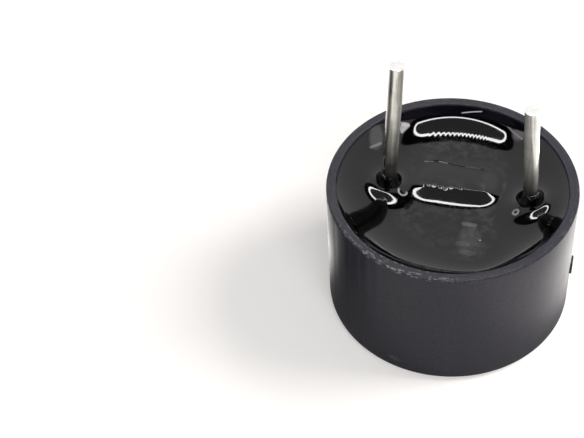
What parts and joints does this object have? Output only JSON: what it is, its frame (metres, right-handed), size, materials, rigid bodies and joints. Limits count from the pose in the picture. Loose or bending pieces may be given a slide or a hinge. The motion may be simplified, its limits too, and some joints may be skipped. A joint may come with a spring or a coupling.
{
  "type": "magnetic buzzer",
  "caption": "Round through-hole buzzer: a potted cylindrical case standing on its peel-off wash label, pins up, with coil, ring magnet and diaphragm sealed inside.",
  "frame": {"origin": "centre of the round label's outer face, the face that the part rests on; it lies on the case axis", "axes": "+Z along the case axis, away from the sound face and towards the pins' tips; +X from the positive pin towards the negative pin; +Y towards the label's pull tab"},
  "size_m": [0.0121, 0.0141, 0.0143],
  "materials": {
    "case_plastic": "satin black moulded plastic with fine scuffs",
    "label_paper": "white sticker with blue print on its outer face",
    "sprung_steel": "thin bright steel",
    "ring_brass": "plain turned ring",
    "magnet_ferrite": "dull dark grey sintered magnet",
    "soft_iron": "zinc-plated soft iron",
    "copper_wire": "enamelled copper wire",
    "board_laminate": "tan laminate board",
    "chip_plastic": "moulded chip body with tinned legs",
    "resistor_ceramic": "ceramic chip with tinned ends",
    "solder": "bright solder",
    "tinned_pin": "drawn wire with satin tin plating",
    "potting_epoxy": "glossy black epoxy"
  },
  "bodies": {
    "root": {"case": "case_plastic", "wash_label": "label_paper", "diaphragm": "sprung_steel", "diaphragm_weight": "sprung_steel", "support_ring": "ring_brass", "ring_magnet": "magnet_ferrite", "pole_core": "soft_iron", "yoke_plate": "soft_iron", "drive_winding": "copper_wire", "feedback_winding": "copper_wire", "circuit_board": "board_laminate", "oscillator_transistor": "chip_plastic", "base_resistor": "resistor_ceramic", "clamp_diode": "chip_plastic", "chip_solder_joints": "solder", "coil_solder_joints": "solder", "pin_solder_joints": "solder", "pin_positive": "tinned_pin", "pin_negative": "tinned_pin", "potting": "potting_epoxy"}
  },
  "joints": []
}
